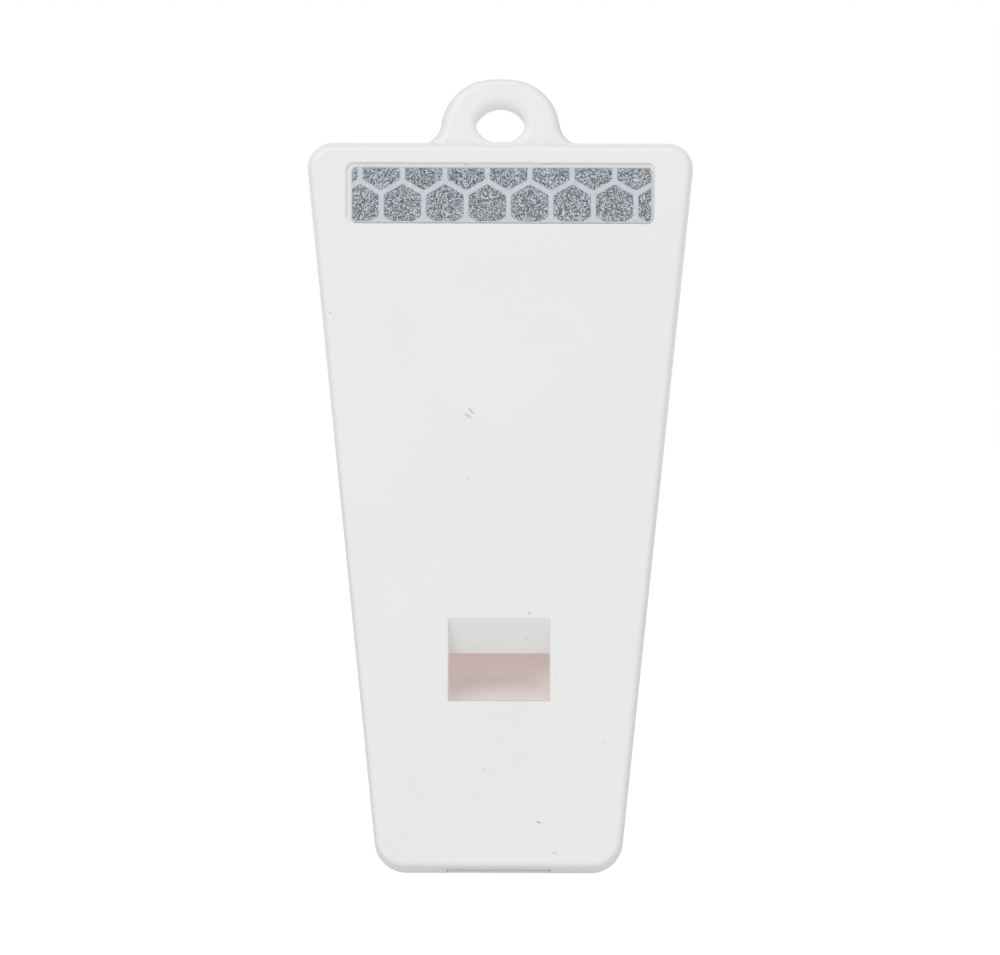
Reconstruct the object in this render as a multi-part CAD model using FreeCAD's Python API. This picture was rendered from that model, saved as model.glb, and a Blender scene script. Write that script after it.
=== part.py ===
import FreeCAD, Part
import math
import os

# Flat pea-less safety whistle with a retroreflective strip, in millimetres.
#
# Row frame: +Z runs from the mouthpiece end (z = 0) to the lanyard eye, the front face looks along -Y,
# and X runs across the width. The origin is the middle of the mouthpiece end, at mid thickness.
#
# The whistle is two moulded half shells welded at a stepped seam. The front shell carries the sound
# window with its sharp lip and the pocket for the strip. The back shell carries the eye, the floor of
# the air duct and the walls of the sound chamber. The strip is a laminate of five layers.

V = FreeCAD.Vector

# --- driving dimensions of the casing -------------------------------------------------------------
BODY_HEIGHT = 56.92       # mouthpiece end to the top of the casing
HALF_WIDTH_LOW = 9.45     # half width of the sharp-cornered outline at z = 0
HALF_WIDTH_HIGH = 15.24   # half width of the sharp-cornered outline at BODY_HEIGHT
CORNER_LOW = 2.5          # outline corner radii at the seam
CORNER_HIGH = 2.0
THICKNESS = 9.0
FRONT = -THICKNESS / 2
BACK = THICKNESS / 2
SEAM = -1.2               # depth of the seam between the two shells
FACE_INSET = (0.35, 0.60, 0.92)     # front face inside the seam outline: sides, top, mouthpiece end
BACK_INSET = (0.35, 0.06, 1.30)     # the same for the back face
FACE_ROUND = 0.45         # edge rounding of both faces
MOUTH_ROUND = 0.85        # and along the mouthpiece end
SEAM_BEVEL = 0.08         # each shell's share of the fine groove along the seam
WALL_INSET = (1.6, 1.8, 2.0)        # inner wall surface inside the seam outline
FRONT_WALL = 1.5
BACK_WALL = 1.5
INNER_FRONT = FRONT + FRONT_WALL
INNER_BACK = BACK - BACK_WALL

# --- stepped seam and locating pins ---------------------------------------------------------------
STEP_INSET = 0.85         # outer face of the back shell's tongue, inside the seam outline
STEP_HEIGHT = 0.8
GAP = 0.04                # clearance between parts that slide together before welding
PINS = ((7.0, 9.0), (9.1, 44.0))    # x and z of the pins on the +X side, mirrored to -X
PIN_RADIUS = 0.8
PIN_TIP = -1.9
PIN_FOOT_RADIUS = 1.4
PIN_FOOT_TOP = 0.6
BOSS_RADIUS = 1.6         # the pins' bosses in the front shell: they end at BOSS_END
BOSS_END = 0.5
BOSS_FLOOR = -2.4         # bottom of their holes

# --- air duct, window, lip and sound chamber ------------------------------------------------------
DUCT_HALF = 4.0           # half width of the duct and the chamber
DUCT_FLOOR = -1.9
RIB = 1.2                 # thickness of the chamber's walls
CHAMBER_LOW = 13.45       # end of the duct, start of the chamber
CHAMBER_HIGH = 48.6
CHAMBER_ROUND = 3.5       # rounded back corners, which make the chamber nearly a half round
CHAMBER_RISE = 1.5        # its lower end slopes up by this much towards the back
SLOPE_ROUND = 0.6         # rounding where that slope meets the back wall
WINDOW_HALF = 3.93        # half width of the window, clear of its rounded rim
WINDOW_LOW = 13.60
WINDOW_HIGH = 20.06
LIP_EDGE = 17.21          # height of the lip's sharp edge
LIP_TOP = -2.62           # depth where the ramp ends
LIP_UNDER = -2.40         # depth of the lip's underside
WINDOW_DRAFT = math.radians(1.5)
RIM_ROUND = 0.10          # edge rounding of the window and the pocket

# --- pocket and strip -----------------------------------------------------------------------------
POCKET_WIDTH = 23.8
POCKET_HEIGHT = 4.68
POCKET_MID = 52.74        # height of the pocket's middle
POCKET_DEPTH = 0.30
POCKET_CORNER = 0.6
STRIP_WIDTH = 23.2
STRIP_HEIGHT = 4.28
STRIP_CORNER = 0.4
STRIP_SHIFT = (0.11, -0.10)         # how far the strip was stuck off the pocket's middle, x and z
LAYERS = (                # the strip's full-size layers, from the pocket's floor outwards
    ("reflector_adhesive", 0.05),
    ("reflector_base", 0.08),
)
BEAD_THICKNESS = 0.05
SEAL_THICKNESS = 0.06
FILM_THICKNESS = 0.05
CELL_PITCH = 3.27         # centre to centre, along a row
SEAL_WIDTH = 0.38
SEAL_BORDER = 0.08        # the strip's cut edge is sealed this far in
CELL_CORNER = 0.25
CELL_ORIGIN = (-1.11, -0.86)        # middle of one cell from the strip's middle, x and z
CELL_GAP = 0.01           # bead patch to seal line

# --- lanyard eye ----------------------------------------------------------------------------------
EYE_TOP = 62.00
EYE_FRONT = -1.0
EYE_THICKNESS = 3.6
EYE_ROUND_TOP = 0.5       # edge rounding along the top of the arch
EYE_ROUND = 0.85          # and down its sides
HOLE_ROUND = 0.75         # and around the hole
EYE_HAUNCH_RADIUS = 4.0   # the eye's outline: a flat arch, two haunches and two flared feet
EYE_HAUNCH = (0.66, 57.96)          # centre of the +X haunch, x and z
EYE_FLARE_RADIUS = 1.85
EYE_FLARE_SINK = 0.03     # the flares run this far under the casing's top
EYE_ROOT = 55.9           # the eye's root is buried in the top wall down to here
HOLE_TOP = 59.88
HOLE_BOTTOM = 57.00
HOLE_FLAT = 57.12         # the oval is cut flat at the bottom
HOLE_SIDE_RADIUS = 0.92
HOLE_SIDE = 0.99          # offset of the side arcs' centres

EXTRA = 5.0               # how far cutting tools reach past the material
OVERLAP = 0.2             # how far added features run into the walls they stand on
LEAST_CORNER = 0.4        # least corner radius of the casing's inner outlines
NEAR = 0.1                # tolerance for finding edges by place
FLAT = 1e-4               # tolerance for edges that lie in a plane


def rounded_outline(corners, radii, depth):
    """Closed wire through (x, z) corners, each rounded to its radius, at y = depth."""
    edges = []
    joints = []
    count = len(corners)
    for i, (corner, radius) in enumerate(zip(corners, radii)):
        here = V(corner[0], depth, corner[1])
        before = V(corners[i - 1][0], depth, corners[i - 1][1])
        after = V(corners[(i + 1) % count][0], depth, corners[(i + 1) % count][1])
        to_before = (before - here).normalize()
        to_after = (after - here).normalize()
        half_angle = to_before.getAngle(to_after) / 2
        reach = radius / math.tan(half_angle)
        bisector = (to_before + to_after).normalize()
        middle = here + bisector * (radius / math.sin(half_angle) - radius)
        start = here + to_before * reach
        end = here + to_after * reach
        joints.append((start, end))
        edges.append(Part.Arc(start, middle, end).toShape())
    for i in range(count):
        edges.append(Part.LineSegment(joints[i - 1][1], joints[i][0]).toShape())
    return Part.Wire(Part.__sortEdges__(edges))


def casing_outline(inset, depth):
    """The tapered outline, moved inwards by (sides, top, mouthpiece end), at y = depth."""
    sides, top, low = inset
    taper = (HALF_WIDTH_HIGH - HALF_WIDTH_LOW) / BODY_HEIGHT
    shift = sides * math.hypot(1, taper)
    high_z = BODY_HEIGHT - top
    high_x = HALF_WIDTH_LOW + taper * high_z - shift
    low_x = HALF_WIDTH_LOW + taper * low - shift
    corners = [(-low_x, low), (low_x, low), (high_x, high_z), (-high_x, high_z)]
    low_radius = max(CORNER_LOW - sides, LEAST_CORNER)
    high_radius = max(CORNER_HIGH - sides, LEAST_CORNER)
    return rounded_outline(corners, [low_radius, low_radius, high_radius, high_radius], depth)


def prism(wire, length):
    """Solid that runs from a wire along +Y."""
    return Part.Face(wire).extrude(V(0, length, 0))


def casing_prism(inset, start, end):
    return prism(casing_outline(inset, start), end - start)


def box(x, y, z):
    """Box from (low, high) pairs on each axis."""
    return Part.makeBox(x[1] - x[0], y[1] - y[0], z[1] - z[0], V(x[0], y[0], z[0]))


def plate(width, height, corner, middle, start, end):
    """Rounded rectangle in X and Z, centred on middle, from y = start to y = end."""
    x, z = width / 2, height / 2
    cx, cz = middle
    corners = [(cx - x, cz - z), (cx + x, cz - z), (cx + x, cz + z), (cx - x, cz + z)]
    return prism(rounded_outline(corners, [corner] * 4, start), end - start)


def lies_at(edge, depth):
    """True for an edge that lies wholly at y = depth."""
    extent = edge.BoundBox
    return abs(extent.YMin - depth) < FLAT and abs(extent.YMax - depth) < FLAT


def fillet_edges(shape, keep, rounding):
    """Rounds the edges for which keep(edge) holds, by rounding(point) at each end of an edge."""
    radii = []
    for number, edge in enumerate(shape.Edges, start=1):
        if keep(edge):
            start, end = [rounding(edge.valueAt(limit)) for limit in edge.ParameterRange]
            radii.append((number, start, end))
    document = FreeCAD.newDocument()
    base = document.addObject("Part::Feature")
    base.Shape = shape
    fillet = document.addObject("Part::Fillet")
    fillet.Base = base
    fillet.Edges = radii
    document.recompute()
    rounded = fillet.Shape.copy()
    FreeCAD.closeDocument(document.Name)
    return rounded


def face_rounding(point):
    """Rounding of a face's rim: slight along the sides and top, and full along the mouthpiece end."""
    is_low = point.z < CORNER_LOW + max(FACE_INSET[2], BACK_INSET[2])
    if is_low and abs(point.x) < HALF_WIDTH_LOW - CORNER_LOW:
        return MOUTH_ROUND
    return FACE_ROUND


def envelope(face_inset, face_depth, bevel):
    """Drafted outer form from the seam to one face, whose seam edge can be broken by a fine bevel."""
    side = 1 if face_depth > SEAM else -1
    sections = [casing_outline(face_inset, face_depth), casing_outline((0, 0, 0), SEAM + side * bevel)]
    if bevel:
        sections.append(casing_outline((bevel,) * 3, SEAM))
    blank = Part.makeLoft(sections, True, True)
    return fillet_edges(blank, lambda edge: lies_at(edge, face_depth), face_rounding)


def front_envelope(bevel=0):
    return envelope(FACE_INSET, FRONT, bevel)


def back_envelope(bevel=0):
    return envelope(BACK_INSET, BACK, bevel)


def window_void():
    """The opening in the front wall, with drafted sides and the ramp down to the lip's edge."""
    slope = math.tan(WINDOW_DRAFT)
    out, inner = FRONT - EXTRA, LIP_UNDER + OVERLAP
    wide = WINDOW_HALF + EXTRA * slope
    narrow = WINDOW_HALF - (inner - FRONT) * slope
    plan = Part.makePolygon([V(-wide, out, 0), V(wide, out, 0), V(narrow, inner, 0),
                             V(-narrow, inner, 0), V(-wide, out, 0)])
    column = Part.Face(plan).extrude(V(0, 0, BODY_HEIGHT))
    ramp = (WINDOW_HIGH - LIP_EDGE) / (LIP_TOP - FRONT)
    side = Part.makePolygon([V(-EXTRA * 2, out, WINDOW_LOW - EXTRA * slope),
                             V(-EXTRA * 2, INNER_FRONT, WINDOW_LOW + FRONT_WALL * slope),
                             V(-EXTRA * 2, inner, WINDOW_LOW + FRONT_WALL * slope),
                             V(-EXTRA * 2, inner, LIP_EDGE),
                             V(-EXTRA * 2, LIP_TOP, LIP_EDGE),
                             V(-EXTRA * 2, FRONT, WINDOW_HIGH),
                             V(-EXTRA * 2, out, WINDOW_HIGH + EXTRA * ramp),
                             V(-EXTRA * 2, out, WINDOW_LOW - EXTRA * slope)])
    return column.common(Part.Face(side).extrude(V(EXTRA * 4, 0, 0)))


def pin_places():
    return [(sign * x, z) for x, z in PINS for sign in (-1, 1)]


def stud(radius, start, end, place):
    """Cylinder along +Y."""
    return Part.makeCylinder(radius, end - start, V(place[0], start, place[1]), V(0, 1, 0))


def make_front_shell():
    shell = front_envelope(SEAM_BEVEL)
    shell = shell.cut(casing_prism(WALL_INSET, INNER_FRONT, SEAM + EXTRA))
    rebate = casing_prism((STEP_INSET - GAP,) * 3, SEAM - STEP_HEIGHT - GAP, SEAM + EXTRA)
    shell = shell.cut(rebate)
    shell = shell.cut(box((-DUCT_HALF, DUCT_HALF), (INNER_FRONT, SEAM + EXTRA), (-EXTRA, EXTRA)))
    pad = box((-DUCT_HALF + GAP, DUCT_HALF - GAP), (INNER_FRONT - OVERLAP, LIP_UNDER),
              (LIP_EDGE, CHAMBER_HIGH - GAP))
    shell = shell.fuse(pad)
    for place in pin_places():
        shell = shell.fuse(stud(BOSS_RADIUS, INNER_FRONT - OVERLAP, BOSS_END, place))
    for place in pin_places():
        shell = shell.cut(stud(PIN_RADIUS + GAP, BOSS_FLOOR, BOSS_END + EXTRA, place))
    pocket = plate(POCKET_WIDTH, POCKET_HEIGHT, POCKET_CORNER, (0, POCKET_MID),
                   FRONT - EXTRA, FRONT + POCKET_DEPTH)
    shell = shell.cut(window_void()).cut(pocket).removeSplitter()
    return shell.makeFillet(RIM_ROUND, [edge for edge in shell.Edges if is_rim(edge)])


def is_rim(edge):
    """True for an edge of the window or the pocket on the front face."""
    extent = edge.BoundBox
    within = max(extent.XMax, -extent.XMin) < POCKET_WIDTH / 2 + NEAR
    above = extent.ZMin > WINDOW_LOW - NEAR
    below = extent.ZMax < POCKET_MID + POCKET_HEIGHT / 2 + NEAR
    return lies_at(edge, FRONT) and within and above and below


def eye_outline():
    """Closed outline of the eye: a flat arch, two haunches, two flared feet and the buried root."""
    hx, hz = EYE_HAUNCH
    rise = EYE_TOP - hz
    arch_radius = (rise ** 2 - EYE_HAUNCH_RADIUS ** 2 + hx ** 2) / (2 * (rise - EYE_HAUNCH_RADIUS))
    arch = V(0, EYE_FRONT, EYE_TOP - arch_radius)
    haunch = V(hx, EYE_FRONT, hz)
    upwards = (haunch - arch).normalize()
    arch_end = arch + upwards * arch_radius
    reach = EYE_HAUNCH_RADIUS + EYE_FLARE_RADIUS
    flare_z = BODY_HEIGHT - EYE_FLARE_SINK + EYE_FLARE_RADIUS
    flare = V(hx + math.sqrt(reach ** 2 - (flare_z - hz) ** 2), EYE_FRONT, flare_z)
    outwards = (flare - haunch).normalize()
    haunch_mid = haunch + (upwards + outwards).normalize() * EYE_HAUNCH_RADIUS
    haunch_end = haunch + outwards * EYE_HAUNCH_RADIUS
    flare_mid = flare + (V(0, 0, -1) - outwards).normalize() * EYE_FLARE_RADIUS
    foot = flare - V(0, 0, EYE_FLARE_RADIUS)
    root = V(foot.x, EYE_FRONT, EYE_ROOT)
    half = [Part.Arc(arch_end, haunch_mid, haunch_end).toShape(),
            Part.Arc(haunch_end, flare_mid, foot).toShape(),
            Part.LineSegment(foot, root).toShape()]
    other = [edge.mirror(V(0, 0, 0), V(1, 0, 0)) for edge in half]
    top = Part.Arc(V(-arch_end.x, EYE_FRONT, arch_end.z), V(0, EYE_FRONT, EYE_TOP), arch_end).toShape()
    base = Part.LineSegment(root, V(-root.x, EYE_FRONT, EYE_ROOT)).toShape()
    return Part.Wire(Part.__sortEdges__([top, base] + half + other))


def is_eye_edge(edge):
    """True for an edge of the eye's front or back, except round its buried root."""
    return edge.BoundBox.YLength < FLAT and edge.BoundBox.ZMin > EYE_ROOT + NEAR


def eye_rounding(point):
    """Rounding of the eye's edges: most inside its hole, and least along the top."""
    if point.z < HOLE_TOP + NEAR and abs(point.x) < HOLE_SIDE + HOLE_SIDE_RADIUS + NEAR:
        return HOLE_ROUND
    return EYE_ROUND_TOP if point.z > HOLE_TOP else EYE_ROUND


def make_eye():
    """The lanyard eye: a flat arch on flared feet with an oval hole, all edges well rounded."""
    blank = prism(eye_outline(), EYE_THICKNESS)
    hole = prism(hole_outline(), THICKNESS * 2)
    kept = box((-EXTRA, EXTRA), (-THICKNESS, THICKNESS), (EYE_ROOT, HOLE_FLAT))
    return fillet_edges(blank.cut(hole.cut(kept)), is_eye_edge, eye_rounding)


def hole_outline():
    """Oval of four tangent arcs for the eye's hole."""
    mid = (HOLE_TOP + HOLE_BOTTOM) / 2
    half = (HOLE_TOP - HOLE_BOTTOM) / 2
    long_radius = (half ** 2 - HOLE_SIDE_RADIUS ** 2 + HOLE_SIDE ** 2) / (2 * (half - HOLE_SIDE_RADIUS))
    centre_drop = long_radius - half
    unit = V(HOLE_SIDE, 0, centre_drop).normalize()
    touch = V(HOLE_SIDE + unit.x * HOLE_SIDE_RADIUS, -THICKNESS, unit.z * HOLE_SIDE_RADIUS)
    tip = HOLE_SIDE + HOLE_SIDE_RADIUS
    arcs = []
    for sign in (-1, 1):
        arcs.append(Part.Arc(V(-touch.x, touch.y, mid + sign * touch.z),
                             V(0, touch.y, mid + sign * half),
                             V(touch.x, touch.y, mid + sign * touch.z)).toShape())
        arcs.append(Part.Arc(V(sign * touch.x, touch.y, mid - touch.z),
                             V(sign * tip, touch.y, mid),
                             V(sign * touch.x, touch.y, mid + touch.z)).toShape())
    return Part.Wire(Part.__sortEdges__(arcs))


def chamber_void():
    """Inside of the sound chamber: a channel with a round back, whose lower end slopes."""
    void = box((-DUCT_HALF, DUCT_HALF), (INNER_FRONT - EXTRA, INNER_BACK), (CHAMBER_LOW, CHAMBER_HIGH))
    corners = [edge for edge in void.Edges if lies_at(edge, INNER_BACK) and edge.BoundBox.ZLength > EXTRA]
    void = void.makeFillet(CHAMBER_ROUND, corners)
    slope = Part.makePolygon([V(-EXTRA, DUCT_FLOOR, CHAMBER_LOW),
                              V(-EXTRA, INNER_BACK, CHAMBER_LOW + CHAMBER_RISE),
                              V(-EXTRA, INNER_BACK, CHAMBER_LOW),
                              V(-EXTRA, DUCT_FLOOR, CHAMBER_LOW)])
    void = void.cut(Part.Face(slope).extrude(V(EXTRA * 2, 0, 0)))
    return void.makeFillet(SLOPE_ROUND, [edge for edge in void.Edges if is_slope_edge(edge)])


def is_slope_edge(edge):
    """True for an edge where the chamber's lower slope meets its back wall."""
    extent = edge.BoundBox
    return extent.YMax > INNER_BACK - NEAR and extent.ZMax < CHAMBER_LOW + CHAMBER_RISE + NEAR


def make_back_shell():
    shell = back_envelope(SEAM_BEVEL)
    shell = shell.cut(casing_prism(WALL_INSET, SEAM - EXTRA, INNER_BACK))
    tongue = casing_prism((STEP_INSET,) * 3, SEAM - STEP_HEIGHT, SEAM + OVERLAP)
    tongue = tongue.cut(casing_prism(WALL_INSET, SEAM - EXTRA, SEAM + EXTRA))
    shell = shell.fuse(tongue)
    outer = DUCT_HALF + RIB
    inner_end = INNER_BACK + OVERLAP
    wall = WALL_INSET[2]
    shell = shell.fuse(box((-outer, outer), (INNER_FRONT, inner_end), (wall + GAP, CHAMBER_HIGH + RIB)))
    shell = shell.fuse(box((-outer, outer), (SEAM - STEP_HEIGHT, inner_end), (wall - OVERLAP, wall + EXTRA)))
    tip = box((-DUCT_HALF + GAP, DUCT_HALF - GAP), (DUCT_FLOOR, SEAM + OVERLAP), (-EXTRA, EXTRA))
    shell = shell.fuse(tip.common(front_envelope().fuse(back_envelope())))
    for place in pin_places():
        shell = shell.fuse(stud(PIN_FOOT_RADIUS, PIN_FOOT_TOP, inner_end, place))
        shell = shell.fuse(stud(PIN_RADIUS, PIN_TIP, inner_end, place))
    shell = shell.fuse(make_eye())
    duct = box((-DUCT_HALF, DUCT_HALF), (INNER_FRONT - EXTRA, DUCT_FLOOR), (-EXTRA, CHAMBER_LOW + OVERLAP))
    return shell.cut(duct).cut(chamber_void()).removeSplitter()


def strip_middle():
    return (STRIP_SHIFT[0], POCKET_MID + STRIP_SHIFT[1])


def strip_plate(start, end, inset=0):
    width, height = STRIP_WIDTH - 2 * inset, STRIP_HEIGHT - 2 * inset
    return plate(width, height, STRIP_CORNER - inset, strip_middle(), start, end)


def cell_centres():
    """Middles of the honeycomb cells that reach into the strip."""
    cx, cz = strip_middle()
    row_height = CELL_PITCH * math.sqrt(3) / 2
    centres = []
    for row in (0, 1):
        shift = CELL_PITCH / 2 * row
        for column in range(-5, 6):
            x = cx + CELL_ORIGIN[0] + column * CELL_PITCH + shift
            z = cz + CELL_ORIGIN[1] + row * row_height
            if abs(x - cx) < (STRIP_WIDTH + CELL_PITCH - SEAL_WIDTH) / 2:
                centres.append((x, z))
    return centres


def cell_prism(centre, across, start, end):
    """Hexagonal prism that stands on a corner, with softly rounded corners."""
    reach = across / math.sqrt(3)
    corners = []
    for i in range(6):
        angle = math.radians(30 + 60 * i)
        corners.append((centre[0] + reach * math.cos(angle), centre[1] + reach * math.sin(angle)))
    return prism(rounded_outline(corners, [CELL_CORNER] * 6, start), end - start)


def make_strip():
    """The strip's layers by name, stacked outwards from the pocket's floor."""
    parts = {}
    level = FRONT + POCKET_DEPTH
    for name, thickness in LAYERS:
        parts[name] = strip_plate(level - thickness, level)
        level -= thickness
    opening = CELL_PITCH - SEAL_WIDTH
    seal = strip_plate(level - SEAL_THICKNESS, level)
    bounds = strip_plate(level - EXTRA, level + EXTRA, SEAL_BORDER)
    bead_bounds = strip_plate(level - EXTRA, level + EXTRA, SEAL_BORDER + CELL_GAP)
    patches = []
    for centre in cell_centres():
        seal = seal.cut(cell_prism(centre, opening, level - EXTRA, level + EXTRA).common(bounds))
        patch = cell_prism(centre, opening - 2 * CELL_GAP, level - BEAD_THICKNESS, level)
        patches += patch.common(bead_bounds).Solids
    parts["reflector_seal_grid"] = seal
    parts["reflector_bead_cells"] = Part.makeCompound(patches)
    level -= SEAL_THICKNESS
    parts["reflector_cover_film"] = strip_plate(level - FILM_THICKNESS, level)
    return parts


def main():
    os.makedirs("parts", exist_ok=True)
    parts = {"front_shell": make_front_shell(), "back_shell": make_back_shell()}
    parts.update(make_strip())
    for name, shape in parts.items():
        shape.exportStep("parts/" + name + ".step")


main()
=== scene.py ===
import math
import random

import bpy
import bmesh
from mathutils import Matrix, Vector


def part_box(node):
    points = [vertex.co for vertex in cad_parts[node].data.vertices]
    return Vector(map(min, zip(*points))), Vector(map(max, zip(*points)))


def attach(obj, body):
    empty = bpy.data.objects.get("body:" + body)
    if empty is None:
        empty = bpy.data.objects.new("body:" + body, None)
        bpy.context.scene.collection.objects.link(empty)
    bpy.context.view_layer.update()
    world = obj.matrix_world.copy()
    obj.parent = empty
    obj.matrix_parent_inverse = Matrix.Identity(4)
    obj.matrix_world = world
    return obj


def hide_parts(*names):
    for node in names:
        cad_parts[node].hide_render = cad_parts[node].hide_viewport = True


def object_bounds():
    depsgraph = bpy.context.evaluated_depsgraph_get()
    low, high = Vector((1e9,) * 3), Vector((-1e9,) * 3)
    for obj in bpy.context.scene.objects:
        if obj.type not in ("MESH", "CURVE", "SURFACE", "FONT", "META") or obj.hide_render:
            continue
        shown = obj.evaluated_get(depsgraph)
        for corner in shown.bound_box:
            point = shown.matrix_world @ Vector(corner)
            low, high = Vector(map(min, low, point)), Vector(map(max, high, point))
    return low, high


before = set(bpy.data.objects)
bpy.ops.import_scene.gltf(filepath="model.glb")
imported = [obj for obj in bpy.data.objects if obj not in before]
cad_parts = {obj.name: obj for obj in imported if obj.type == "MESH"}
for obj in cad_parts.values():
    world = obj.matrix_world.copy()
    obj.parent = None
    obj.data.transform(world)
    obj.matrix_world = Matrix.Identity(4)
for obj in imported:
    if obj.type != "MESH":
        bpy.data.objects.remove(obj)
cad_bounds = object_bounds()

# Looks of a flat safety whistle: white moulded shells and a honeycomb reflective strip, in a plain
# white studio. Lengths are in metres. The mouthpiece end is at the bottom, the front looks along -Y.

MM = 0.001
SEED = 7

# --- view -----------------------------------------------------------------------------------------
SENSOR = 36.0                     # width in millimetres, as Blender states it
VIEW_DISTANCE = 250 * MM          # from the lens to the front face
VIEW_WIDTH = 77.0 * MM            # width of the picture at the front face
VIEW_CENTRE = (0.03 * MM, 30.85 * MM)      # x and z on the lens axis
VIEW_ROLL = math.radians(0.15)
VIEW_START = 10 * MM              # nothing nearer to the lens is drawn

# --- light: radiance where 1 is the white of the picture --------------------------------------------
FRONT_LIGHT = 0.945               # the surroundings, straight in front
BACK_LIGHT = 0.48                 # and straight behind, without the fill
BACK_FILL = 0.5                   # a broad soft light behind, which is added
BACK_FILL_START = 0.7             # y of the direction at which it starts
LOW_LIGHT = 0.6                   # straight below, all of this is weaker by this factor
FULL_LIGHT_FROM = 0.5             # z of the direction from which it is at full strength
LIGHT_TINT = (0.945, 0.960, 0.972)
BACK_TINT = (1.0, 0.985, 0.965)
TINT_CHANGE = (-0.2, 0.6)         # y of the direction where the one tint turns into the other
LAMP_DISTANCE = 0.9
LAMPS = (                         # name, power in watts, size, direction from the whistle
    ("softbox", 1.34, 0.40, (-0.38, -0.80, 0.46)),
    ("edge_light", 0.18, 0.15, (0.0, -0.57, 0.82)),      # draws fine highlights along the upper edges
)
MAX_BOUNCES = 24                  # much of the light in the sound chamber has bounced many times
DIFFUSE_BOUNCES = 20

# --- floor ----------------------------------------------------------------------------------------
FLOOR_GREY = 0.30                 # what it reflects
FLOOR_GLOW = 0.44                 # how much it lights the whistle from below
FLOOR_SHOWN = 0.86                # how much it glows to the camera, which makes it nearly white
FLOOR_REACH = 3.0
FLOOR_GAP = 0.02 * MM             # it lies this far below the whistle


# --- small helpers for node materials -------------------------------------------------------------
class Shader:
    """A node tree that is built with short calls; nearly every call returns an output socket."""

    def __init__(self, tree):
        self.tree = tree

    def node(self, kind, inputs=(), output=0, **settings):
        made = self.tree.nodes.new(kind)
        for name, value in settings.items():
            setattr(made, name, value)
        for key, value in dict(inputs).items():
            self.feed(made.inputs[key], value)
        return made.outputs[output]

    def feed(self, socket, value):
        """Links or sets an input. Colours are (red, green, blue)."""
        if isinstance(value, bpy.types.NodeSocket):
            self.tree.links.new(value, socket)
        elif socket.type == "RGBA":
            socket.default_value = (*value, 1.0)
        else:
            socket.default_value = value

    def math(self, operation, *values):
        return self.node("ShaderNodeMath", dict(enumerate(values)), operation=operation)

    def product(self, first, *others):
        for other in others:
            first = self.math("MULTIPLY", first, other)
        return first

    def axes(self, vector):
        """The x, y and z of a vector, as three sockets."""
        return self.node("ShaderNodeSeparateXYZ", {0: vector}).node.outputs

    def mix(self, share, first, second):
        return self.node("ShaderNodeMix", {0: share, 6: first, 7: second}, output=2, data_type="RGBA")

    def noise(self, where, scale, detail):
        return self.node("ShaderNodeTexNoise", {"Vector": where, "Scale": scale, "Detail": detail})

    def bump(self, height, strength, distance):
        return self.node("ShaderNodeBump", {"Strength": strength, "Distance": distance, "Height": height})

    def span(self, value, low, high, new_low=0.0, new_high=1.0, smooth=False):
        """Maps low..high to new_low..new_high, and holds the ends. Low may be above high."""
        kind = "SMOOTHSTEP" if smooth else "LINEAR"
        return self.node("ShaderNodeMapRange", {0: value, 1: low, 2: high, 3: new_low, 4: new_high},
                         interpolation_type=kind)


def new_material(name):
    """An empty node material, its Shader and its surface input."""
    material = bpy.data.materials.new(name)
    material.use_nodes = True
    material.node_tree.nodes.clear()
    shader = Shader(material.node_tree)
    output = material.node_tree.nodes.new("ShaderNodeOutputMaterial")
    return material, shader, output.inputs["Surface"]


# --- moulded plastic ------------------------------------------------------------------------------
# Small marks of handling: x, z, half length, half width (all in millimetres), angle in degrees, strength
FRONT_MARKS = (
    (-2.19, 35.97, 0.36, 0.045, -51, 0.70),     # two strokes side by side
    (-2.43, 35.58, 0.38, 0.120, -30, 0.30),
    (2.29, 20.42, 0.19, 0.050, 25, 0.60),
    (3.07, 4.30, 0.24, 0.055, -23, 0.65),
    (4.29, 1.93, 0.31, 0.040, -14, 0.45),
    (2.26, 55.22, 0.38, 0.030, -61, 0.35),      # a scratch that runs into the pocket
    (-2.65, 54.95, 0.17, 0.060, 0, 0.35),
    (3.50, 55.00, 0.60, 0.045, 0, 0.22),
    (-2.40, 30.66, 0.05, 0.050, 0, 0.90),       # specks
    (-1.15, 8.36, 0.05, 0.050, 0, 0.90),
    (-13.06, 43.51, 0.05, 0.050, 0, 0.90),
    (2.09, 18.40, 0.06, 0.050, 0, 0.90),
    (8.12, 10.44, 0.06, 0.045, 0, 0.50),
    (4.40, 15.42, 0.04, 0.060, 0, 0.45),
    (-4.76, 18.27, 0.04, 0.070, 0, 0.25),
    (-7.00, 38.00, 0.04, 0.060, 0, 0.30),
    (-1.25, 30.97, 0.10, 0.200, 0, 0.07),       # faint smudges
    (7.22, 46.17, 0.22, 0.110, -50, 0.07),
)
BACK_MARKS = (
    (1.05, 60.15, 1.00, 0.035, 12, 0.06),       # knit line where the melt closes round the eye's hole
    (9.40, 31.20, 0.45, 0.040, 38, 0.40),
    (-5.10, 12.60, 0.05, 0.050, 0, 0.80),
    (-3.20, 44.80, 0.30, 0.045, -20, 0.35),
)
MARK_EDGE = (1.1, 0.6)            # a mark fades in between these shares of its half sizes
DIRT = (0.28, 0.22, 0.18)

FLOW_SCALE = 90.0                 # noise of the faint, wide flow marks
PLASTIC = ((0.925, 0.918, 0.912), (0.935, 0.930, 0.925))     # they run from one of these to the other
COLOUR_FLOW = (0.35, 0.65)        # over this part of the noise
ROUGHNESS = (0.26, 0.32)          # and from one of these to the other
ROUGHNESS_FLOW = (0.3, 0.7)       # over this part of it
PLASTIC_GLOSS = 0.35
GRAIN_SCALE = 9000.0              # noise of the satin grain
GRAIN_STRENGTH = 0.12
GRAIN_DEPTH = 0.01 * MM
ROSY_PAINTED_LIGHT = (0.955, 0.905, 0.885)      # painted rosy light on walls that light shines through
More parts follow.
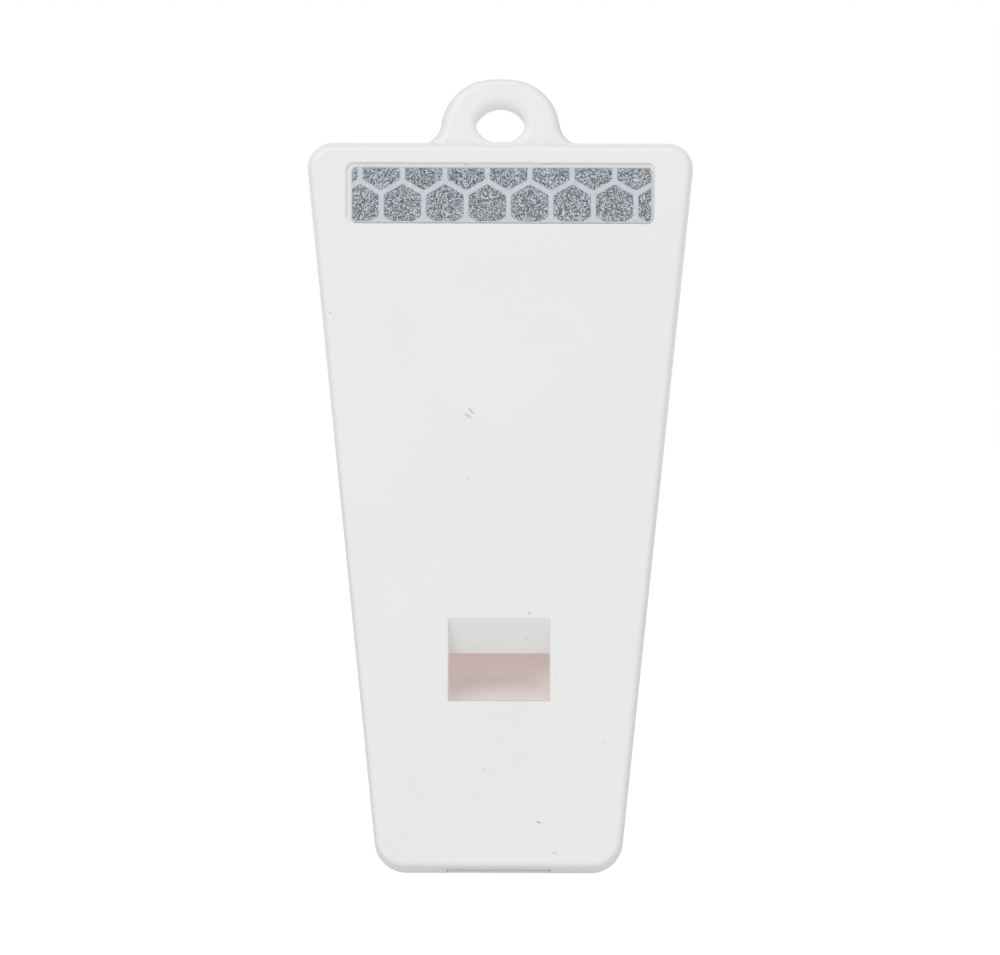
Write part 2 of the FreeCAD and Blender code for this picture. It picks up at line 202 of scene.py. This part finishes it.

# A painted shadow line in the groove between the shells
SEAM = -1.2 * MM                  # its y
SEAM_EDGE = (0.08 * MM, 0.04 * MM)    # the painted shadow fades in between these distances from it
# strength and colour of the painted shadow line
SEAM_PAINTED_SHADOW = 0.5
SEAM_SHADOW_COLOUR = (0.55, 0.53, 0.50)

# The sound chamber's inner walls, which get the painted rosy light and a painted glow: where they start
# behind the faces, and how their mask fades in
FRONT_WALL = 2.1 * MM
FRONT_FADE = 0.5 * MM
BACK_WALL = 1.4 * MM
BACK_FADE = 0.2 * MM
INNER_LOW = (6 * MM, 8 * MM)
INNER_BELOW_TOP = (2 * MM, 3 * MM)
INNER_HALF_WIDTH = (6 * MM, 5 * MM)
WALL_GLOW = 0.043                 # painted glow for light that comes through the thin walls
WALL_GLOW_TINT = (1.0, 0.70, 0.60)

# The slope at the sound chamber's lower end
SLOPE_FRONT = -1.9 * MM           # y of its front
SLOPE_BACK = 3.0 * MM             # and of its back
SLOPE_FOOT = 13.45 * MM           # z at its front
SLOPE_RISE = 1.5 * MM             # and how much higher it is at the back
SLOPE_FADE = (0.05 * MM, 0.55 * MM)    # its mask fades out between these heights above it
SLOPE_GLOW = 0.065                # painted glow: more light comes through it, and it is cooler
SLOPE_GLOW_TINT = (0.90, 0.95, 1.0)

# The eye, whose outer rim gets painted shade and the inside of its hole a painted glow: its masks fade in
# over the first two z values, and reaches are from the middle of its ring
EYE_LOW = (57.0 * MM, 57.4 * MM)
EYE_MIDDLE = 58.4 * MM            # z
RIM_REACH = (2.7 * MM, 3.3 * MM)
HOLE_REACH = (2.7 * MM, 2.3 * MM)
EYE_SHADE = 0.6                   # painted shade: how much of the darker colour below is mixed into the eye's outer rim
EYE_RIM_SHADE_COLOUR = (0.70, 0.69, 0.68)
HOLE_GLOW = 0.03                  # painted glow inside the eye's hole

# The strip's pocket, whose walls get the painted rosy light and a painted glow: the mask of its walls ends
# between these distances from the face and the strip
POCKET_DEPTH = (0.6 * MM, 0.5 * MM)
POCKET_REACH = (0.6 * MM, 0.5 * MM)
# painted glow on the pocket's walls, which lightens their shade
POCKET_GLOW = 0.068


def white_plastic(name, marks):
    """White semi-gloss moulding with satin grain, faint flow marks and small marks of handling. The walls
    of the sound chamber and of the strip's pocket get painted rosy light and a painted glow, for light
    that shines through them; the eye's outer rim gets painted shade and the inside of its hole a painted
    glow, and the groove between the shells a painted shadow line."""
    material, shader, surface = new_material(name)
    where = shader.node("ShaderNodeTexCoord", output=3)
    flow = shader.noise(where, FLOW_SCALE, 3.0)
    grain = shader.noise(where, GRAIN_SCALE, 2.0)
    steep = steepness(shader)
    inner = inner_surface(shader, where)
    above_slope = clear_of_slope(shader, where)
    rim, hole = eye_edges(shader, where, steep)
    pocket = pocket_walls(shader, where, steep)

    colour = shader.mix(shader.span(flow, *COLOUR_FLOW), *PLASTIC)
    # painted rosy light on the sound chamber's walls above its slope, and on the pocket's walls
    colour = shader.mix(shader.product(inner, above_slope), colour, ROSY_PAINTED_LIGHT)
    colour = shader.mix(pocket, colour, ROSY_PAINTED_LIGHT)
    # painted shade on the eye's outer rim
    colour = shader.mix(shader.product(rim, EYE_SHADE), colour, EYE_RIM_SHADE_COLOUR)
    # painted shadow line in the groove between the shells
    colour = shader.mix(seam_shadow_line(shader, where, inner), colour, SEAM_SHADOW_COLOUR)
    for mark in marks:
        colour = shader.mix(handling_mark(shader, where, *mark), colour, DIRT)

    # painted glow: on the sound chamber's walls, stronger on its slope, inside the eye's hole and on the
    # pocket's walls
    glow = shader.span(above_slope, 0.0, 1.0, SLOPE_GLOW, WALL_GLOW)
    strength = shader.math("MULTIPLY_ADD", inner, glow, shader.product(hole, HOLE_GLOW))
    strength = shader.math("MULTIPLY_ADD", pocket, POCKET_GLOW, strength)
    shader.feed(surface, shader.node("ShaderNodeBsdfPrincipled", {
        "Base Color": colour,
        "Roughness": shader.span(flow, *ROUGHNESS_FLOW, *ROUGHNESS),
        "Specular IOR Level": PLASTIC_GLOSS,
        "Normal": shader.bump(grain, GRAIN_STRENGTH, GRAIN_DEPTH),
        "Emission Color": shader.mix(above_slope, SLOPE_GLOW_TINT, WALL_GLOW_TINT),
        "Emission Strength": strength,
    }))
    return material


def steepness(shader):
    """0 on faces that look straight to the front or the back, and 1 on faces square to those."""
    normal = shader.node("ShaderNodeNewGeometry", output=1)
    return shader.span(shader.math("ABSOLUTE", shader.axes(normal)[1]), 1.0, 0.0)


def seam_shadow_line(shader, where, inner):
    """Mask of a painted shadow line in the groove between the two shells, on the outside only."""
    off_seam = shader.math("ABSOLUTE", shader.math("SUBTRACT", shader.axes(where)[1], SEAM))
    outside = shader.math("SUBTRACT", 1.0, inner)
    return shader.product(shader.span(off_seam, *SEAM_EDGE, 0.0, SEAM_PAINTED_SHADOW), outside)


def clear_of_slope(shader, where):
    """0 on the slope that closes the sound chamber's lower end, and 1 above it."""
    _, depth, height = shader.axes(where)
    slope = shader.span(depth, SLOPE_FRONT, SLOPE_BACK, SLOPE_FOOT, SLOPE_FOOT + SLOPE_RISE)
    return shader.span(shader.math("SUBTRACT", height, slope), *SLOPE_FADE)


def eye_edges(shader, where, steep):
    """Masks of the eye's rounded outer rim, which gets painted shade, and of the inside of its hole, which
    gets a painted glow. Both are 0 on its flat faces.
    """
    turned = shader.product(steep, shader.span(shader.axes(where)[2], *EYE_LOW))
    flat = shader.node("ShaderNodeVectorMath", {0: where, 1: (1, 0, 1)}, operation="MULTIPLY")
    reach = shader.node("ShaderNodeVectorMath", {0: flat, 1: (0, 0, EYE_MIDDLE)}, output=1,
                        operation="DISTANCE")
    rim = shader.product(turned, shader.span(reach, *RIM_REACH))
    hole = shader.product(turned, shader.span(reach, *HOLE_REACH))
    return rim, hole


def pocket_walls(shader, where, steep):
    """Mask of the walls round the reflective strip, which get painted rosy light and a painted glow. It is
    0 on the pocket's floor.
    """
    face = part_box("front_shell")[0].y
    low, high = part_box("reflector_base")
    x, y, z = shader.axes(where)
    mask = shader.product(steep, shader.span(y, *(face + depth for depth in POCKET_DEPTH)))
    for place, first, last in ((x, low.x, high.x), (z, low.z, high.z)):
        off = shader.math("ABSOLUTE", shader.math("SUBTRACT", place, (first + last) / 2))
        edge = (last - first) / 2
        mask = shader.product(mask, shader.span(off, *(edge + reach for reach in POCKET_REACH)))
    return mask


def handling_mark(shader, where, x, z, half_length, half_width, angle, strength):
    """Mask of one soft-edged oval mark on the face, whatever its depth."""
    placed = shader.node("ShaderNodeMapping", {
        "Vector": where,
        "Location": (x * MM, 0, z * MM),
        "Rotation": (0, math.radians(-angle), 0),
        "Scale": (half_length * MM, 1.0, half_width * MM),
    }, vector_type="TEXTURE")
    distance = shader.node("ShaderNodeVectorMath", {0: placed}, output=1, operation="LENGTH")
    return shader.span(distance, *MARK_EDGE, 0.0, strength)


def inner_surface(shader, where):
    """1 on the walls of the sound chamber, which get painted rosy light and a painted glow, and 0 on every
    outer surface.
    """
    low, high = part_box("front_shell")
    front = low.y + FRONT_WALL
    back = -low.y - BACK_WALL
    x, y, z = shader.axes(where)
    return shader.product(
        shader.span(y, front, front + FRONT_FADE),
        shader.span(y, back + BACK_FADE, back),
        shader.span(z, *INNER_LOW),
        shader.span(z, *(high.z - below for below in INNER_BELOW_TOP)),
        shader.span(shader.math("ABSOLUTE", x), *INNER_HALF_WIDTH))


# --- reflective strip -----------------------------------------------------------------------------
RELIEF_DEPTH = 0.02 * MM
FILM_ROUGHNESS = 0.12
FILM_IOR = 1.35                   # below a real film's, so that the reflection stays thin
FILM_RIPPLE_SCALE = 700.0
FILM_RIPPLE = 0.15
FILM_TINT = (0.985, 0.99, 0.995)
BEAD_TINT = (0.93, 0.985, 1.0)
BEAD_ROUGHNESS = 0.4


def layer_material(name, scale, detail, colours, roughness, contrast=(0.0, 1.0), relief=0.0):
    """A mottled layer between two colours. Contrast is the part of the noise that shows."""
    material, shader, surface = new_material(name)
    where = shader.node("ShaderNodeTexCoord", output=3)
    mottle = shader.noise(where, scale, detail)
    shader.feed(surface, shader.node("ShaderNodeBsdfPrincipled", {
        "Base Color": shader.mix(shader.span(mottle, *contrast), *colours),
        "Roughness": roughness,
        "Normal": shader.bump(mottle, relief, RELIEF_DEPTH),
    }))
    return material


def bead_material():
    """Half-silvered glass beads, each with its own brightness."""
    material, shader, surface = new_material("glass_beads")
    shade = shader.node("ShaderNodeAttribute", output=2, attribute_name="shade")
    shader.feed(surface, shader.node("ShaderNodeBsdfPrincipled", {
        "Base Color": shader.mix(shade, (0, 0, 0), BEAD_TINT),
        "Roughness": BEAD_ROUGHNESS,
    }))
    return material


def film_material():
    """Clear glossy film: see-through, with a thin reflection on its outer side only, so that light that
    has come in can leave."""
    material, shader, surface = new_material("clear_film")
    where = shader.node("ShaderNodeTexCoord", output=3)
    ripple = shader.bump(shader.noise(where, FILM_RIPPLE_SCALE, 2.0), FILM_RIPPLE, RELIEF_DEPTH)
    gloss = shader.node("ShaderNodeBsdfAnisotropic",       # Blender's Glossy BSDF
                        {"Color": (1, 1, 1), "Roughness": FILM_ROUGHNESS, "Normal": ripple})
    clear = shader.node("ShaderNodeBsdfTransparent", {"Color": FILM_TINT})
    backfacing = shader.node("ShaderNodeNewGeometry", output=6)
    fresnel = shader.node("ShaderNodeFresnel", {"IOR": FILM_IOR, "Normal": ripple})
    share = shader.product(fresnel, shader.math("SUBTRACT", 1.0, backfacing))
    shader.feed(surface, shader.node("ShaderNodeMixShader", {0: share, 1: clear, 2: gloss}))
    return material


BEAD_RADIUS = 0.049 * MM
BEAD_PITCH = 0.096 * MM
BEAD_SIDES = 6
BEAD_RINGS = ((1.0, 0.0), (0.74, 0.67))    # a dome's rings: share of the radius, share of the height
BEAD_SHIFT = 0.14                 # how far a bead may stray from its place, as a share of the pitch
BEAD_SIZES = (0.82, 1.06)         # shares of the radius
BEAD_HEIGHTS = (0.45, 0.65)       # shares of the patch's thickness
BEAD_CLEARANCE = 0.9              # least distance from a bead's middle to the seal lines, in radii
BEAD_SHADE = 0.34                 # reflectance of a middling bead
BEAD_SPREAD = 1.50                # and how much beads differ, as a deviation of its logarithm
SAME_POINT = 1e-7                 # corners this near to each other are one


def cell_outlines():
    """Convex (x, z) outline of each bead patch, and the y of the patches' back and front."""
    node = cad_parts["reflector_bead_cells"]
    low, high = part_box("reflector_bead_cells")
    mesh = bmesh.new()
    mesh.from_mesh(node.data)
    bmesh.ops.remove_doubles(mesh, verts=mesh.verts, dist=SAME_POINT)
    outlines = []
    waiting = set(mesh.verts)
    while waiting:
        group = [waiting.pop()]
        for vert in group:
            for edge in vert.link_edges:
                other = edge.other_vert(vert)
                if other in waiting:
                    waiting.remove(other)
                    group.append(other)
        front = [vert.co for vert in group if vert.co.y < (low.y + high.y) / 2]
        middle = sum(front, Vector()) / len(front)
        front.sort(key=lambda point: math.atan2(point.z - middle.z, point.x - middle.x))
        outlines.append([(point.x, point.z) for point in front])
    mesh.free()
    outlines.sort()
    return outlines, high.y, low.y


def inside(outline, x, z, margin):
    """True if (x, z) is inside a convex counter-clockwise outline by at least margin."""
    for i, (bx, bz) in enumerate(outline):
        ax, az = outline[i - 1]
        length = math.hypot(bx - ax, bz - az)
        if (bx - ax) * (z - az) - (bz - az) * (x - ax) < margin * length:
            return False
    return True


def make_beads():
    """Thousands of small glass domes that fill the honeycomb's cells, standing on the base film."""
    draw = random.Random(SEED)
    outlines, back, front = cell_outlines()
    points, faces, shades = [], [], []
    row_step = BEAD_PITCH * math.sqrt(3) / 2
    thickness = back - front
    for outline in outlines:
        xs, zs = zip(*outline)
        row = 0
        z = min(zs)
        while z < max(zs):
            x = min(xs) + (row % 2) * BEAD_PITCH / 2
            while x < max(xs):
                cx = x + draw.uniform(-BEAD_SHIFT, BEAD_SHIFT) * BEAD_PITCH
                cz = z + draw.uniform(-BEAD_SHIFT, BEAD_SHIFT) * BEAD_PITCH
                radius = BEAD_RADIUS * draw.uniform(*BEAD_SIZES)
                shade = BEAD_SHADE * math.exp(draw.gauss(0, BEAD_SPREAD))
                if inside(outline, cx, cz, radius * BEAD_CLEARANCE):
                    height = thickness * draw.uniform(*BEAD_HEIGHTS)
                    add_dome(points, faces, (cx, back, cz), radius, height)
                    shades += [min(shade, 1.0)] * (len(points) - len(shades))
                x += BEAD_PITCH
            z += row_step
            row += 1
    mesh = bpy.data.meshes.new("reflector_beads")
    mesh.from_pydata(points, [], faces)
    mesh.polygons.foreach_set("use_smooth", [len(face) < BEAD_SIDES for face in faces])    # not the feet
    attribute = mesh.attributes.new("shade", "FLOAT", "POINT")
    attribute.data.foreach_set("value", shades)
    beads = bpy.data.objects.new("reflector_beads", mesh)
    bpy.context.scene.collection.objects.link(beads)
    mesh.materials.append(bead_material())
    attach(beads, "root")
    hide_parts("reflector_bead_cells")


def add_dome(points, faces, foot, radius, height):
    """A closed dome whose flat foot lies at foot and whose top points along -Y."""
    start = len(points)
    for share, rise in BEAD_RINGS:
        for side in range(BEAD_SIDES):
            angle = 2 * math.pi * side / BEAD_SIDES
            points.append((foot[0] + radius * share * math.cos(angle), foot[1] - height * rise,
                           foot[2] + radius * share * math.sin(angle)))
    top = len(points)
    points.append((foot[0], foot[1] - height, foot[2]))
    for side in range(BEAD_SIDES):
        after = (side + 1) % BEAD_SIDES
        faces.append((start + side, start + after, start + BEAD_SIDES + after, start + BEAD_SIDES + side))
        faces.append((start + BEAD_SIDES + side, start + BEAD_SIDES + after, top))
    faces.append(tuple(start + side for side in reversed(range(BEAD_SIDES))))


def dress(node, material):
    """Puts one material on all of a CAD node's slots."""
    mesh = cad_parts[node].data
    if not mesh.materials:
        mesh.materials.append(material)
    for i in range(len(mesh.materials)):
        mesh.materials[i] = material


# --- studio ---------------------------------------------------------------------------------------
def make_world():
    """Soft white light, strongest in front and above, with a fill behind. The camera sees plain white."""
    world = bpy.data.worlds.new("studio")
    bpy.context.scene.world = world
    world.use_nodes = True
    world.node_tree.nodes.clear()
    shader = Shader(world.node_tree)
    _, backward, upward = shader.axes(shader.node("ShaderNodeTexCoord", output=0))
    level = shader.span(backward, -1.0, 1.0, FRONT_LIGHT, BACK_LIGHT)
    fill = shader.span(backward, BACK_FILL_START, 1.0, 0.0, BACK_FILL, smooth=True)
    level = shader.product(shader.math("ADD", level, fill),
                           shader.span(upward, -1.0, FULL_LIGHT_FROM, LOW_LIGHT, 1.0, smooth=True))
    tint = shader.mix(shader.span(backward, *TINT_CHANGE), LIGHT_TINT, BACK_TINT)
    light = shader.node("ShaderNodeBackground", {"Color": tint, "Strength": level})
    white = shader.node("ShaderNodeBackground", {"Color": (1, 1, 1), "Strength": 1.0})
    is_camera = shader.node("ShaderNodeLightPath", output=0)
    output = world.node_tree.nodes.new("ShaderNodeOutputWorld")
    shader.feed(output.inputs[0], shader.node("ShaderNodeMixShader", {0: is_camera, 1: light, 2: white}))


def make_floor():
    """A plain white table. It glows, most of all to the camera, so that only a faint shadow shows."""
    mesh = bpy.data.meshes.new("floor")
    reach = FLOOR_REACH
    mesh.from_pydata([(-reach, -reach, 0), (reach, -reach, 0), (reach, reach, 0), (-reach, reach, 0)],
                     [], [(0, 1, 2, 3)])
    floor = bpy.data.objects.new("floor", mesh)
    floor.location.z = cad_bounds[0].z - FLOOR_GAP
    bpy.context.scene.collection.objects.link(floor)
    material, shader, surface = new_material("floor_white")
    table = shader.node("ShaderNodeBsdfDiffuse", {"Color": (FLOOR_GREY, FLOOR_GREY, FLOOR_GREY)})
    is_camera = shader.node("ShaderNodeLightPath", output=0)
    strength = shader.span(is_camera, 0.0, 1.0, FLOOR_GLOW, FLOOR_SHOWN)
    glow = shader.node("ShaderNodeEmission", {"Color": (1, 1, 1), "Strength": strength})
    shader.feed(surface, shader.node("ShaderNodeAddShader", {0: table, 1: glow}))
    mesh.materials.append(material)


def make_lamps():
    """A large softbox, in front of the whistle, above it and to its left, and a small lamp higher up."""
    target = (cad_bounds[0] + cad_bounds[1]) / 2
    for name, power, size, direction in LAMPS:
        light = bpy.data.lights.new(name, "AREA")
        light.shape = "SQUARE"
        light.size = size
        light.energy = power
        light.color = LIGHT_TINT
        lamp = bpy.data.objects.new(name, light)
        bpy.context.scene.collection.objects.link(lamp)
        towards = Vector(direction).normalized()
        lamp.location = target + towards * LAMP_DISTANCE
        lamp.rotation_euler = (-towards).to_track_quat("-Z", "Y").to_euler()


def make_camera():
    """Looks straight at the front face, as the photograph does."""
    lens = bpy.data.cameras.new("camera")
    lens.sensor_width = SENSOR
    lens.lens = SENSOR * VIEW_DISTANCE / VIEW_WIDTH
    lens.clip_start = VIEW_START
    camera = bpy.data.objects.new("camera", lens)
    bpy.context.scene.collection.objects.link(camera)
    camera.location = (VIEW_CENTRE[0], cad_bounds[0].y - VIEW_DISTANCE, VIEW_CENTRE[1])
    camera.rotation_euler = (math.radians(90), 0, 0)
    camera.rotation_euler.rotate_axis("Z", VIEW_ROLL)
    bpy.context.scene.camera = camera


dress("front_shell", white_plastic("front_plastic", FRONT_MARKS))
dress("back_shell", white_plastic("back_plastic", BACK_MARKS))
dress("reflector_adhesive", layer_material(
    "acrylic_adhesive", scale=1500.0, detail=3.0, roughness=0.35,
    colours=((0.62, 0.60, 0.55), (0.74, 0.72, 0.67))))
dress("reflector_base", layer_material(
    "binder_film", scale=4000.0, detail=2.0, roughness=0.6,
    colours=((0.40, 0.43, 0.46), (0.58, 0.61, 0.64))))
dress("reflector_seal_grid", layer_material(
    "seal_lines", scale=2500.0, detail=3.0, roughness=0.5, contrast=(0.3, 0.7), relief=0.2,
    colours=((0.665, 0.685, 0.705), (0.73, 0.745, 0.76))))
dress("reflector_cover_film", film_material())
make_beads()
make_world()
make_floor()
make_lamps()
make_camera()
bpy.context.scene.view_settings.view_transform = "Standard"
bpy.context.scene.cycles.max_bounces = MAX_BOUNCES
bpy.context.scene.cycles.diffuse_bounces = DIFFUSE_BOUNCES
